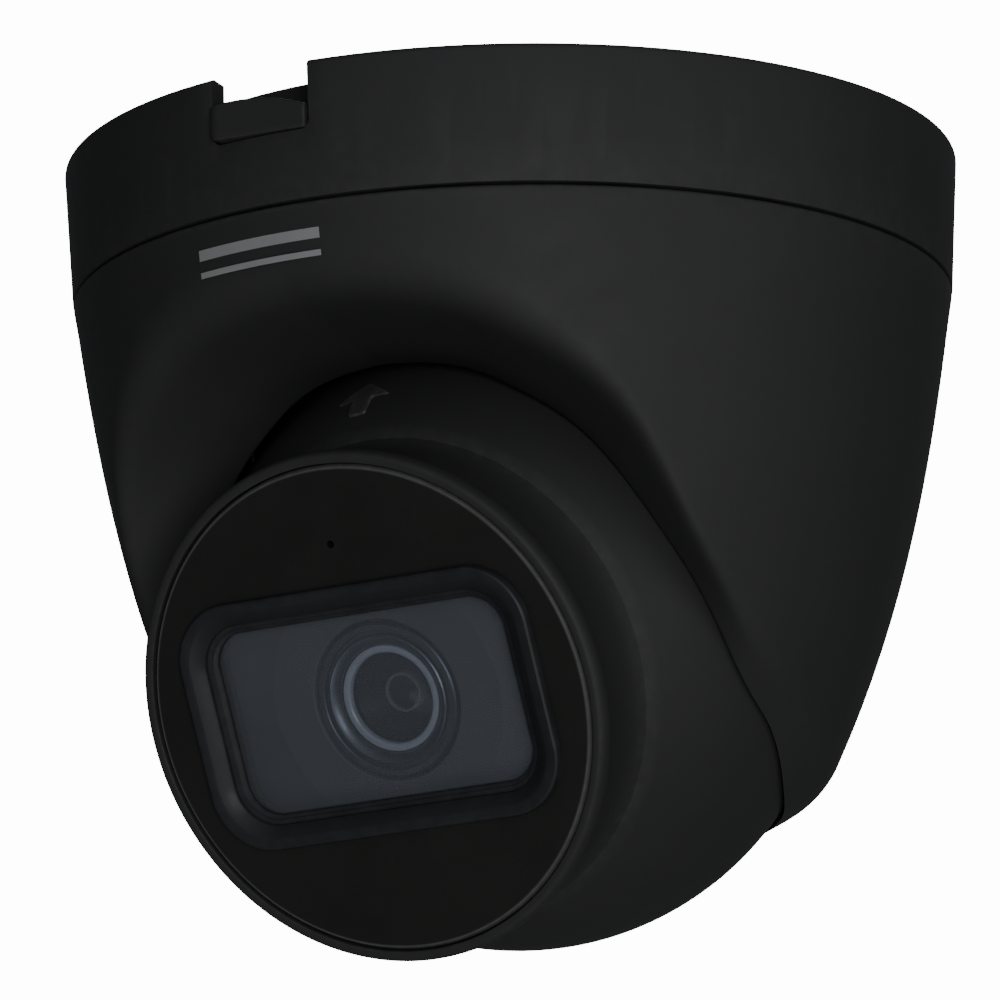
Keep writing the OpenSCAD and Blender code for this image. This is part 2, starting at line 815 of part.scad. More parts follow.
mounting_base();
notch_plug();
friction_washer();
retaining_ring();
cover_shell();
pan_carrier();
carrier_screws();
ball_seat();
friction_ring();
seat_screws();
cable_gland();
ball_front_shell();
ball_rear_shell();
shell_seal();
shell_screws();
face_plate();
window_bezel();
window_glass();
window_gasket();
lens_baffle();
lens_barrel();
lens_front_element();
lens_middle_element();
lens_rear_element();
lens_lock_ring();
lens_holder();
ir_cut_filter();
image_sensor();
sensor_board();
board_spacers();
board_screws();
main_board();
board_header();
processor_chip();
thermal_pad();
heat_sink();
cable_socket();
ir_led_board();
ir_leds();
microphone();
microphone_boot();
light_sensor();
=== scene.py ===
import bmesh
import bpy
import json
import math
from mathutils import Matrix, Vector


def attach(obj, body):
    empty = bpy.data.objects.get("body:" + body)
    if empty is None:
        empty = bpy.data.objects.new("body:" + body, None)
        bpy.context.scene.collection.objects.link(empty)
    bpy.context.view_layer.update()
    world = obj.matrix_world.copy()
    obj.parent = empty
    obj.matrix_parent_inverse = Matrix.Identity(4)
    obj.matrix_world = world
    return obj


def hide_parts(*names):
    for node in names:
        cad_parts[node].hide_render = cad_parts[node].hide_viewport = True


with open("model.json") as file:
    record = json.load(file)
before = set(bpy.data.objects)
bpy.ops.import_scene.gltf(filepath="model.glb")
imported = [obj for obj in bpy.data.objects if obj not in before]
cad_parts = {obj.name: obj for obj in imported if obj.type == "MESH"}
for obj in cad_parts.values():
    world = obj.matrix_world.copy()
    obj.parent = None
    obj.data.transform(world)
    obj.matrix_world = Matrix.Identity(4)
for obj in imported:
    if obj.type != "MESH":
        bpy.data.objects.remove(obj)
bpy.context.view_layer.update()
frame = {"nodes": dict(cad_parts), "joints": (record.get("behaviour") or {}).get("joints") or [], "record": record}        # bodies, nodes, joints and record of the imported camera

metre = 0.001            # every piece is drawn in millimetres and scaled once, at its end
nodes = frame["nodes"]
bodyOf = {node: body for body, group in frame["record"]["behaviour"]["bodies"].items() for node in group}
rollJoint = next(joint for joint in frame["joints"] if joint["name"] == "roll_joint")
ballCentre = Vector(rollJoint["pos_m"])
opticalAxis = Vector(rollJoint["axis"])
ballZ = ballCentre.z / metre
downTilt = math.asin(-opticalAxis.z)
ballSpace = Matrix.Translation(ballCentre) @ Matrix.Rotation(math.pi / 2 + downTilt, 4, "X")
scene = bpy.context.scene


# Curves and outlines

def curveThrough(table, x):
    # smooth value at x through the (x, value) pairs of the table
    if x <= table[0][0]:
        return table[0][1]
    if x >= table[-1][0]:
        return table[-1][1]
    k = max(i for i in range(len(table) - 1) if table[i][0] <= x)
    (xA, yA), (xB, yB) = table[k], table[k + 1]
    before = table[k - 1] if k else (2 * xA - xB, yA)
    after = table[k + 2] if k + 2 < len(table) else (2 * xB - xA, yB)
    slopeA = (yB - before[1]) / (xB - before[0])
    slopeB = (after[1] - yA) / (after[0] - xA)
    t, span = (x - xA) / (xB - xA), xB - xA
    return ((1 + 2 * t) * (1 - t) ** 2 * yA + t * (1 - t) ** 2 * span * slopeA
            + t * t * (3 - 2 * t) * yB + t * t * (t - 1) * span * slopeB)


def bend(a, corner, b, steps):
    # points of a soft corner from a to b, without a itself
    out = []
    for i in range(1, steps + 1):
        t = i / steps
        out.append(tuple((1 - t) ** 2 * p + 2 * t * (1 - t) * c + t * t * q for p, c, q in zip(a, corner, b)))
    return out


def softened(points, radius, steps=3, closed=True):
    # the outline with each of its corners rounded by about radius
    out, count = [], len(points)
    for i, p in enumerate(points):
        if not closed and i in (0, count - 1):
            out.append(p)
            continue
        p = Vector(p)
        a, b = Vector(points[i - 1]), Vector(points[(i + 1) % count])
        cut = min(radius, (a - p).length * 0.45, (b - p).length * 0.45)
        start, end = p + (a - p).normalized() * cut, p + (b - p).normalized() * cut
        out.append(tuple(start))
        out += bend(tuple(start), tuple(p), tuple(end), steps)
    return out


def roundedCorner(angle, width, height, radius):
    # point of a rounded rectangle that belongs to an angle from 0 to a full turn
    share = (angle / (math.pi / 2)) % 4
    quarter, s = int(share), share % 1
    signX, signY = ((1, 1), (-1, 1), (-1, -1), (1, -1))[quarter]
    cornerX, cornerY = width / 2 - radius, height / 2 - radius
    if quarter % 2:
        s = 1 - s
    if s < 0.15:
        x, y = width / 2, cornerY * s / 0.15
    elif s > 0.8:
        x, y = cornerX * (1 - s) / 0.2, height / 2
    else:
        turn = (s - 0.15) / 0.65 * math.pi / 2
        x, y = cornerX + radius * math.cos(turn), cornerY + radius * math.sin(turn)
    return signX * x, signY * y


def onCircle(angle, radius):
    return radius * math.cos(angle), radius * math.sin(angle)


# Making meshes

def spun(bm, outline, steps=192, closed=True):
    # turns an outline of (radius, height) points right round the Z axis
    verts = [bm.verts.new((max(r, 0.0), 0.0, z)) for r, z in outline]
    pairs = list(zip(verts, verts[1:] + verts[:1])) if closed else list(zip(verts, verts[1:]))
    edges = [bm.edges.new(pair) for pair in pairs]
    bmesh.ops.spin(bm, geom=verts + edges, cent=(0, 0, 0), axis=(0, 0, 1), dvec=(0, 0, 0),
                   angle=2 * math.pi, steps=steps, use_merge=True, use_duplicate=False)
    bmesh.ops.remove_doubles(bm, verts=bm.verts, dist=0.002)
    return bm


def grown(bm, count, rings, place, closed=True):
    # a row of loops, each extruded from the last; place(ring, angle) says where a point goes
    made = bmesh.ops.create_circle(bm, segments=count, radius=1.0)["verts"]
    angleOf = {v: math.atan2(v.co.y, v.co.x) % (2 * math.pi) for v in made}
    firstLoop = loop = list(bm.edges)
    for v in made:
        v.co = place(0, angleOf[v])
    for ring in range(1, rings):
        made = bmesh.ops.extrude_edge_only(bm, edges=loop)["geom"]
        fresh = {g for g in made if isinstance(g, bmesh.types.BMVert)}
        loop = [g for g in made if isinstance(g, bmesh.types.BMEdge) and set(g.verts) <= fresh]
        for v in fresh:
            angleOf[v] = next(angleOf[e.other_vert(v)] for e in v.link_edges if e.other_vert(v) not in fresh)
            v.co = place(ring, angleOf[v])
    if closed:
        bmesh.ops.bridge_loops(bm, edges=firstLoop + loop)
    return firstLoop, loop


def wornAndHighlitEdges(bm, plain):
    # keeps how sharp each point is, for the finish to rub the edges a little; on the face plate the same mark
    # paints a highlight along the chamfer
    layer = bm.verts.layers.float.new("edgeWearAndHighlight")
    for v in bm.verts:
        sharpness = max((e.calc_face_angle(0.0) for e in v.link_edges if len(e.link_faces) == 2), default=0.0)
        v[layer] = 0.0 if plain and plain(v.co) else min(max((sharpness - 0.12) / 0.5, 0.0), 1.0)


def finished(bm, name, node, slotName, space=None, finish=None, crease=34, plain=None, unit=metre,
             standsFor=True):
    # the mesh becomes a piece that rides on the same body as its node
    bmesh.ops.remove_doubles(bm, verts=bm.verts, dist=0.0005 * metre / unit)
    bmesh.ops.recalc_face_normals(bm, faces=bm.faces)
    wornAndHighlitEdges(bm, plain)
    if unit != 1:
        bmesh.ops.scale(bm, vec=(unit, unit, unit), verts=bm.verts)
    if space is not None:
        bmesh.ops.transform(bm, matrix=space, verts=bm.verts)
    limit = math.radians(crease)
    for f in bm.faces:
        f.smooth = True
    for e in bm.edges:
        e.smooth = len(e.link_faces) != 2 or e.calc_face_angle(0.0) < limit
    mesh = bpy.data.meshes.new(name)
    bm.to_mesh(mesh)
    bm.free()
    piece = bpy.data.objects.new(name, mesh)
    scene.collection.objects.link(piece)
    mesh.materials.append(finishes[finish or slotName])
    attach(piece, bodyOf[node])
    if standsFor:
        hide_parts(node)


def cutWith(bm, cutter):
    # takes the shape of a second mesh out of the first
    objects = []
    for source in (bm, cutter):
        bmesh.ops.recalc_face_normals(source, faces=source.faces)
        mesh = bpy.data.meshes.new("cutting")
        source.to_mesh(mesh)
        source.free()
        objects.append(bpy.data.objects.new("cutting", mesh))
        scene.collection.objects.link(objects[-1])
    modifier = objects[0].modifiers.new("cut", "BOOLEAN")
    modifier.operation, modifier.solver, modifier.object = "DIFFERENCE", "EXACT", objects[1]
    shaped = objects[0].evaluated_get(bpy.context.evaluated_depsgraph_get()).to_mesh()
    result = bmesh.new()
    result.from_mesh(shaped)
    for o in objects:
        bpy.data.objects.remove(o)
    return result


# Finishes

# how fine each noise of the finishes is, in waves per metre
noiseScale = {"wearAndHighlightPatches": 700, "metalCloud": 300, "metalSmudges": 500, "toolLines": 900, "glassTintCloud": 60,
              "fingerMarks": 120, "glassWaves": 40, "maskCloud": 120, "maskGloss": 400, "floorCloud": 2}


def newFinish(name, **sockets):
    material = bpy.data.materials.new(name)
    material.use_nodes = True
    shader = material.node_tree.nodes["Principled BSDF"]
    for socket, value in sockets.items():
        shader.inputs[socket.replace("_", " ")].default_value = value
    return material, material.node_tree, shader


def noiseAt(tree, scale, detail=3.0, stretch=(1, 1, 1), rough=0.55):
    # noise on the piece's own coordinates, in metres
    place = tree.nodes.new("ShaderNodeTexCoord")
    mapping = tree.nodes.new("ShaderNodeMapping")
    mapping.inputs["Scale"].default_value = stretch
    noise = tree.nodes.new("ShaderNodeTexNoise")
    noise.inputs["Scale"].default_value = scale
    noise.inputs["Detail"].default_value = detail
    noise.inputs["Roughness"].default_value = rough
    tree.links.new(place.outputs["Object"], mapping.inputs["Vector"])
    tree.links.new(mapping.outputs["Vector"], noise.inputs["Vector"])
    return noise.outputs["Fac"]


def spread(tree, source, low, high, fromLow=0.3, fromHigh=0.7):
    node = tree.nodes.new("ShaderNodeMapRange")
    for socket, value in (("From Min", fromLow), ("From Max", fromHigh), ("To Min", low), ("To Max", high)):
        node.inputs[socket].default_value = value
    tree.links.new(source, node.inputs["Value"])
    return node.outputs["Result"]


def blended(tree, factor, first, second):
    # mixes two colours, each a colour or a socket
    node = tree.nodes.new("ShaderNodeMix")
    node.data_type = "RGBA"
    tree.links.new(factor, node.inputs["Factor"])
    for socket, value in ((node.inputs[6], first), (node.inputs[7], second)):
        if isinstance(value, (tuple, list)):
            socket.default_value = tuple(value) + (1.0,)
        else:
            tree.links.new(value, socket)
    return node.outputs[2]


def multiplied(tree, a, b):
    node = tree.nodes.new("ShaderNodeMath")
    node.operation = "MULTIPLY"
    for socket, value in zip(node.inputs, (a, b)):
        if isinstance(value, (int, float)):
            socket.default_value = value
        else:
            tree.links.new(value, socket)
    return node.outputs[0]


def bumped(tree, shader, height, strength, distance):
    node = tree.nodes.new("ShaderNodeBump")
    node.inputs["Strength"].default_value = strength
    node.inputs["Distance"].default_value = distance
    tree.links.new(height, node.inputs["Height"])
    tree.links.new(node.outputs["Normal"], shader.inputs["Normal"])


def mouldedFinish(name, settings):
    # moulded plastic or rubber: mottled colour, uneven gloss, fine grain, edges a little worn; for
    # face_plastic the lighter edge colour is a painted highlight
    material, tree, shader = newFinish(name, **settings.get("shader", {}))
    base = settings["colour"]
    shade = settings.get("mottle", 0.12)
    darker = tuple(c * (1 - shade) for c in base)
    lighter = tuple(c * (1 + shade) for c in base)
    cloud = spread(tree, noiseAt(tree, settings.get("cloudScale", 90), 4), 0, 1)
    colour = blended(tree, cloud, darker, lighter)
    wearAndHighlight = tree.nodes.new("ShaderNodeAttribute")
    wearAndHighlight.attribute_name = "edgeWearAndHighlight"
    most = settings.get("wearAndHighlight", 0.5)
    least = most * settings.get("wearAndHighlightEven", 0.0)
    patches = spread(tree, noiseAt(tree, noiseScale["wearAndHighlightPatches"], 3), least, most, 0.4, 0.65)
    rubbedAndHighlit = multiplied(tree, wearAndHighlight.outputs["Fac"], patches)
    # lighter colour on sharp edges: real rubbing, and on the face plate a painted highlight along the chamfer
    colour = blended(tree, rubbedAndHighlit, colour, settings.get("rubbedAndHighlit", tuple(c * 1.9 + 0.004 for c in base)))
    tree.links.new(colour, shader.inputs["Base Color"])
    low, high = settings["rough"]
    gloss = spread(tree, noiseAt(tree, settings.get("glossScale", 260), 4), low, high)
    tree.links.new(gloss, shader.inputs["Roughness"])
    grain = noiseAt(tree, settings.get("grainScale", 2600), 2)
    bumped(tree, shader, grain, settings.get("grain", 0.25), settings.get("grainDepth", 0.00003))
    return material


def metalFinish(name, settings):
    # turned or pressed metal with fine tool lines and smudges
    material, tree, shader = newFinish(name, Metallic=1.0, **settings.get("shader", {}))
    base = settings["colour"]
    cloud = spread(tree, noiseAt(tree, noiseScale["metalCloud"], 4), 0, 1)
    tree.links.new(blended(tree, cloud, tuple(c * 0.85 for c in base), base), shader.inputs["Base Color"])
    low, high = settings["rough"]
    smudges = noiseAt(tree, noiseScale["metalSmudges"], 3)
    tree.links.new(spread(tree, smudges, low, high), shader.inputs["Roughness"])
    lines = noiseAt(tree, noiseScale["toolLines"], 2, stretch=settings.get("lines", (1, 1, 8)))
    bumped(tree, shader, lines, 0.2, 0.00002)
    return material


def glassFinish(name, settings):
    # tinted clear piece, its tint a little uneven, with finger marks in its gloss; the window's pale bluish
    # tint is a painted reflection veil
    material, tree, shader = newFinish(name, Alpha=settings["alpha"], IOR=settings.get("index", 1.5),
                                       **settings.get("shader", {}))
    base = settings["colour"]
    tintCloud = spread(tree, noiseAt(tree, noiseScale["glassTintCloud"], 3), 0, 1)
    colour = blended(tree, tintCloud, tuple(c * 0.9 for c in base), tuple(c * 1.1 for c in base))
    tree.links.new(colour, shader.inputs["Base Color"])
    low, high = settings["rough"]
    marks = noiseAt(tree, noiseScale["fingerMarks"], 2)
    tree.links.new(spread(tree, marks, low, high), shader.inputs["Roughness"])
    bumped(tree, shader, noiseAt(tree, noiseScale["glassWaves"], 1), settings.get("grain", 0.05), 0.00002)
    return material


def boardFinish(name, settings):
    # solder mask with copper tracks that show through
    material, tree, shader = newFinish(name, **settings.get("shader", {}))
    place = tree.nodes.new("ShaderNodeTexCoord")
    tracks = tree.nodes.new("ShaderNodeTexBrick")
    tracks.inputs["Scale"].default_value = settings["trackScale"]
    tracks.inputs["Mortar Size"].default_value = settings.get("trackWidth", 0.012)
    tree.links.new(place.outputs["Object"], tracks.inputs["Vector"])
    base = settings["colour"]
    cloud = spread(tree, noiseAt(tree, noiseScale["maskCloud"], 3), 0, 1)
    mask = blended(tree, cloud, base, tuple(c * 1.3 for c in base))
    tree.links.new(blended(tree, tracks.outputs["Fac"], mask, settings["track"]), shader.inputs["Base Color"])
    gloss = spread(tree, noiseAt(tree, noiseScale["maskGloss"], 3), *settings["rough"])
    tree.links.new(gloss, shader.inputs["Roughness"])
    bumped(tree, shader, tracks.outputs["Fac"], 0.3, 0.00003)
    return material


finishSettings = {
    "black_shell": dict(kind=mouldedFinish, colour=(0.020, 0.020, 0.0205), rough=(0.6, 0.65), mottle=0.035,
                        wearAndHighlight=0.3, grain=0.3, grainDepth=0.00004, grainScale=2400,
                        shader={"Specular_IOR_Level": 0.22}),
    "inner_plastic": dict(kind=mouldedFinish, colour=(0.03, 0.03, 0.032), rough=(0.45, 0.6)),
    "soft_rubber": dict(kind=mouldedFinish, colour=(0.012, 0.012, 0.012), rough=(0.7, 0.85), grain=0.5,
                        wearAndHighlight=0.2),
    # face plate: its lighter edge colour, nearly even all round, is a painted highlight along the chamfer
    "face_plastic": dict(kind=mouldedFinish, colour=(0.0115, 0.0113, 0.0105), rough=(0.22, 0.29), mottle=0.12,
                         wearAndHighlight=1.0, wearAndHighlightEven=0.8, rubbedAndHighlit=(0.08, 0.08, 0.08), grain=0.05, grainScale=1800,
                         shader={"Specular_IOR_Level": 0.32}),
    "bezel_plastic": dict(kind=mouldedFinish, colour=(0.014, 0.0145, 0.0155), rough=(0.42, 0.5), mottle=0.1,
                          wearAndHighlight=0.3, grain=0.1, grainScale=2200, shader={"Specular_IOR_Level": 0.2}),
    # the window's pale bluish colour, seen through its low alpha, is a painted reflection veil over the face
    "window": dict(kind=glassFinish, colour=(0.13, 0.144, 0.168), rough=(0.05, 0.08), alpha=0.18, grain=0.01,
                   shader={"Specular_IOR_Level": 0.3}),
    "baffle_plastic": dict(kind=mouldedFinish, colour=(0.023, 0.0255, 0.03), rough=(0.55, 0.65), wearAndHighlight=0.0,
                           grain=0.0, mottle=0.04),
    "lens_metal": dict(kind=metalFinish, colour=(0.078, 0.09, 0.113), rough=(0.36, 0.48)),
    "lens_glass": dict(kind=glassFinish, colour=(0.016, 0.02, 0.022), rough=(0.03, 0.06), alpha=0.45,
                       index=1.45, shader={"Specular_IOR_Level": 0.18}),
    "filter_glass": dict(kind=glassFinish, colour=(0.08, 0.02, 0.03), rough=(0.03, 0.06), alpha=0.6),
    "screw_steel": dict(kind=metalFinish, colour=(0.55, 0.56, 0.58), rough=(0.28, 0.4)),
    "circuit_board": dict(kind=boardFinish, colour=(0.01, 0.07, 0.03), track=(0.05, 0.16, 0.07),
                          trackScale=220, rough=(0.3, 0.42)),
    "led_circuit_board": dict(kind=boardFinish, colour=(0.02, 0.02, 0.022), track=(0.06, 0.06, 0.065),
                              trackScale=180, rough=(0.35, 0.5)),
    "chip_black": dict(kind=mouldedFinish, colour=(0.014, 0.014, 0.015), rough=(0.5, 0.65), grainScale=5000),
    "sensor_package": dict(kind=mouldedFinish, colour=(0.05, 0.03, 0.06), rough=(0.12, 0.2), grain=0.03),
    "spacer_brass": dict(kind=metalFinish, colour=(0.62, 0.44, 0.18), rough=(0.25, 0.38)),
    "pad_silicone": dict(kind=mouldedFinish, colour=(0.22, 0.3, 0.42), rough=(0.6, 0.75), grain=0.4),
    "sink_aluminium": dict(kind=metalFinish, colour=(0.6, 0.61, 0.63), rough=(0.35, 0.48), lines=(8, 1, 1)),
    "socket_nylon": dict(kind=mouldedFinish, colour=(0.55, 0.54, 0.5), rough=(0.4, 0.5), wearAndHighlight=0.1),
    "led_epoxy": dict(kind=glassFinish, colour=(0.5, 0.52, 0.5), rough=(0.1, 0.2), alpha=0.8),
    "microphone_can": dict(kind=metalFinish, colour=(0.6, 0.58, 0.5), rough=(0.3, 0.4)),
    "light_sensor_epoxy": dict(kind=glassFinish, colour=(0.05, 0.02, 0.02), rough=(0.1, 0.2), alpha=0.9),
    # finishes of single pieces, whose slot is a wider one
    # the lens ring's light bluish colour is a painted highlight on its bevel
    "lensBright": dict(kind=mouldedFinish, colour=(0.175, 0.2, 0.25), rough=(0.35, 0.45), grain=0.05,
                       wearAndHighlight=0.1),
    # near white: a painted highlight on the small ring round the inner glass
    "innerBright": dict(kind=mouldedFinish, colour=(0.75, 0.8, 0.8), rough=(0.35, 0.45), grain=0.05,
                        wearAndHighlight=0.0),
    "innerGlass": dict(kind=glassFinish, colour=(0.02, 0.014, 0.012), rough=(0.12, 0.16), alpha=0.9,
                       index=2.2),
    "lensDark": dict(kind=mouldedFinish, colour=(0.006, 0.0075, 0.0075), rough=(0.35, 0.45), grain=0.1,
                     wearAndHighlight=0.2),
    # dark steel for the seat screws, painted shade for the gap they show through
    "darkSteel": dict(kind=metalFinish, colour=(0.035, 0.035, 0.037), rough=(0.4, 0.55)),
    "arrowPlastic": dict(kind=mouldedFinish, colour=(0.03, 0.03, 0.031), rough=(0.5, 0.58), wearAndHighlight=0.8),
    "printedGrey": dict(kind=mouldedFinish, colour=(0.2, 0.2, 0.205), rough=(0.45, 0.6), mottle=0.08,
                        grain=0.2, wearAndHighlight=0.0),
}
finishes = {}
for name, settings in finishSettings.items():
    finishes[name] = settings["kind"](name, settings)
print("finishes made:", len(finishes))

slotsUsed = {
    "soft_rubber": ["cable_gland", "friction_ring", "shell_seal", "window_gasket", "microphone_boot"],
    "inner_plastic": ["pan_carrier", "ball_seat", "lens_holder", "board_header"],
    "screw_steel": ["friction_washer", "retaining_ring", "carrier_screws", "seat_screws", "shell_screws",
                    "board_screws"],
    "lens_metal": ["lens_lock_ring"],
    "lens_glass": ["lens_middle_element", "lens_rear_element"],
    "filter_glass": ["ir_cut_filter"],
    "sensor_package": ["image_sensor"],
    "circuit_board": ["sensor_board", "main_board"],
    "spacer_brass": ["board_spacers"],
    "chip_black": ["processor_chip"],
    "pad_silicone": ["thermal_pad"],
    "sink_aluminium": ["heat_sink"],
    "socket_nylon": ["cable_socket"],
    "led_circuit_board": ["ir_led_board"],
    "led_epoxy": ["ir_leds"],
    "microphone_can": ["microphone"],
    "light_sensor_epoxy": ["light_sensor"],
}


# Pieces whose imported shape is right: a merged copy gets rounded edges

soft = {
    "crease": 30, "merge": 0.000002, "flat": 0.6, "plainRadius": 0.08, "baseRadius": 0.35, "rearRadius": 0.15,
    "radius": {"pan_carrier": 0.2, "ball_seat": 0.15, "friction_ring": 0.1, "heat_sink": 0.1,
               "main_board": 0.05, "sensor_board": 0.05, "cable_gland": 0.25, "retaining_ring": 0.15,
               "friction_washer": 0.15},
    # the seat screws get dark steel: painted shade where they show deep in the gap
    "finish": {"seat_screws": "darkSteel"},
}


def softenedNode(node, name, slotName, radius, moved=None, finish=None):
    bm = bmesh.new()
    bm.from_mesh(nodes[node].data)
    bmesh.ops.remove_doubles(bm, verts=bm.verts, dist=soft["merge"])
    bmesh.ops.dissolve_limit(bm, angle_limit=math.radians(soft["flat"]), use_dissolve_boundaries=False,
                             verts=bm.verts, edges=bm.edges, delimit={"NORMAL"})
    if moved:
        for v in bm.verts:
            v.co = moved(v.co)
    limit = math.radians(soft["crease"])
    edges = [e for e in bm.edges if len(e.link_faces) == 2 and e.calc_face_angle(0.0) > limit]
    bmesh.ops.bevel(bm, geom=edges, offset=radius * metre, offset_type="OFFSET", segments=2, profile=0.5,
                    affect="EDGES", clamp_overlap=True, material=-1)
    finished(bm, name, node, slotName, finish=finish, unit=1, crease=soft["crease"])


for slotName, group in slotsUsed.items():
    for node in group:
        softenedNode(node, node.replace("_", "-"), slotName, soft["radius"].get(node, soft["plainRadius"]),
                     finish=soft["finish"].get(node))

notch = {
    # the side walls at the outside and the inside of the base wall, as (packed place, place here) across
    "outer": [(-14.0, -14.0), (-5.7, -6.93), (5.7, 4.7), (14.0, 14.0)],
    "inner": [(-14.0, -14.0), (-5.7, -7.4), (5.7, 4.7), (14.0, 14.0)],
    "reach": 14.0, "frontHalf": -0.03, "wallInside": 43.0, "wallMiddle": 45.0,
}


def notchMoved(place):
    # slides the notch a little round the base wall, which stays round
    r, x = math.hypot(place.x, place.y) / metre, place.x / metre
    if place.y > notch["frontHalf"] or r < notch["wallInside"] or abs(x) >= notch["reach"]:
        return place
    table = notch["outer" if r > notch["wallMiddle"] else "inner"]
    k = max(i for i in range(len(table) - 1) if table[i][0] <= x)
    (fromA, toA), (fromB, toB) = table[k], table[k + 1]
    x = toA + (toB - toA) * (x - fromA) / (fromB - fromA)
    return Vector((x * metre, -math.sqrt(r * r - x * x) * metre, place.z))


softenedNode("mounting_base", "mountingBase", "black_shell", soft["baseRadius"], moved=notchMoved)
softenedNode("ball_rear_shell", "ballRearShell", "black_shell", soft["rearRadius"])

plug = {"left": -6.8, "right": 4.3, "low": -6.95, "peak": -3.0, "peakAt": -3.4, "fall": 0.0247,
        "frontLeft": -47.2, "frontRight": -46.4, "back": -43.9, "corner": 1.0, "sweep": 0.5, "round": 0.2,
        "across": 28, "tall": 6, "sharp": 0.8}


def buildPlug():
    # an arched tongue, a little proud of the base at its left end
    bm = bmesh.new()
    made = bmesh.ops.create_grid(bm, x_segments=plug["across"], y_segments=plug["tall"], size=0.5)["verts"]
    for v in made:
        share, rise = v.co.x + 0.5, v.co.y + 0.5
        x = plug["left"] + (plug["right"] - plug["left"]) * share
        near = max(0.0, 1 - (x - plug["left"]) / plug["corner"])
        low = plug["low"] + plug["corner"] * (1 - math.sqrt(1 - near ** 2))
        top = plug["peak"] - plug["fall"] * (x - plug["peakAt"]) ** 2
        y = plug["frontLeft"] + (plug["frontRight"] - plug["frontLeft"]) * share + plug["sweep"] * near ** 2
        v.co = Vector((x, y, low + (top - low) * rise))
    made = bmesh.ops.extrude_face_region(bm, geom=list(bm.faces))["geom"]
    front = {v for v in made if isinstance(v, bmesh.types.BMVert)}
    for v in bm.verts:
        if v not in front:
            v.co.y = plug["back"]
    bmesh.ops.recalc_face_normals(bm, faces=bm.faces)
    rim = [e for e in bm.edges if set(e.verts) <= front and e.calc_face_angle(0.0) > plug["sharp"]]
    bmesh.ops.bevel(bm, geom=rim, offset=plug["round"], offset_type="OFFSET", segments=3, profile=0.5,
                    affect="EDGES", clamp_overlap=True, material=-1)
    finished(bm, "notchPlug", "notch_plug", "black_shell", crease=40)


buildPlug()
print("inner pieces and base made")


# Cover

cover = {
    "top": -14.5, "low": -70.0, "topRadius": 45.85, "taper": 8.0, "bulge": 8.0, "curve": 2.7, "wall": 2.2,
    "edgeRound": 0.35, "spigotRadius": 43.35, "spigotWall": 1.4, "spigotHeight": 2.2, "spigotEdge": 0.3,
    # height over the ball's centre of the outer and the inner edge of the mouth, by angle from the front
    "outerEdge": [(0, 27.5), (18, 25.6), (30, 22.1), (45, 14.8), (60, 1.0), (75, -7.6), (90, -12.0),
                  (120, -16.0), (180, -17.3)],
    "innerEdge": [(0, 23.2), (18, 22.1), (30, 19.6), (45, 13.8), (60, 1.9), (75, -9.2), (90, -14.3),
                  (105, -18.0), (120, -19.3), (180, -19.8)],
    "mouthGap": [(0, 2.2), (20, 2.0), (35, 1.1), (50, 0.55), (60, 0.4), (180, 0.4)],
    # how softly the outside turns into the brow
    "browBlend": [(0, 5.0), (30, 4.0), (50, 2.2), (90, 1.6), (180, 3.2)],
    "ballRadius": 32.7, "lipRound": 0.35, "lipShare": 0.2, "spigotFoot": 1.2,
    # the shelf inside, from the mouth's wall out to the cover's wall
    "shelfRise": 0.6, "shelfBelowTop": 2.0, "shelfIn": 0.4, "shelfDown": 0.3, "innerEnd": 1.6,
    "steps": 240, "outerSteps": 16, "browSteps": 7, "lipSteps": 4, "innerSteps": 8,
}


def coverRadius(z):
    share = (cover["top"] - z) / (cover["top"] - cover["low"])
    share = min(max(share, 0.0), 1.0)
    return cover["topRadius"] - cover["taper"] * share - cover["bulge"] * share ** cover["curve"]


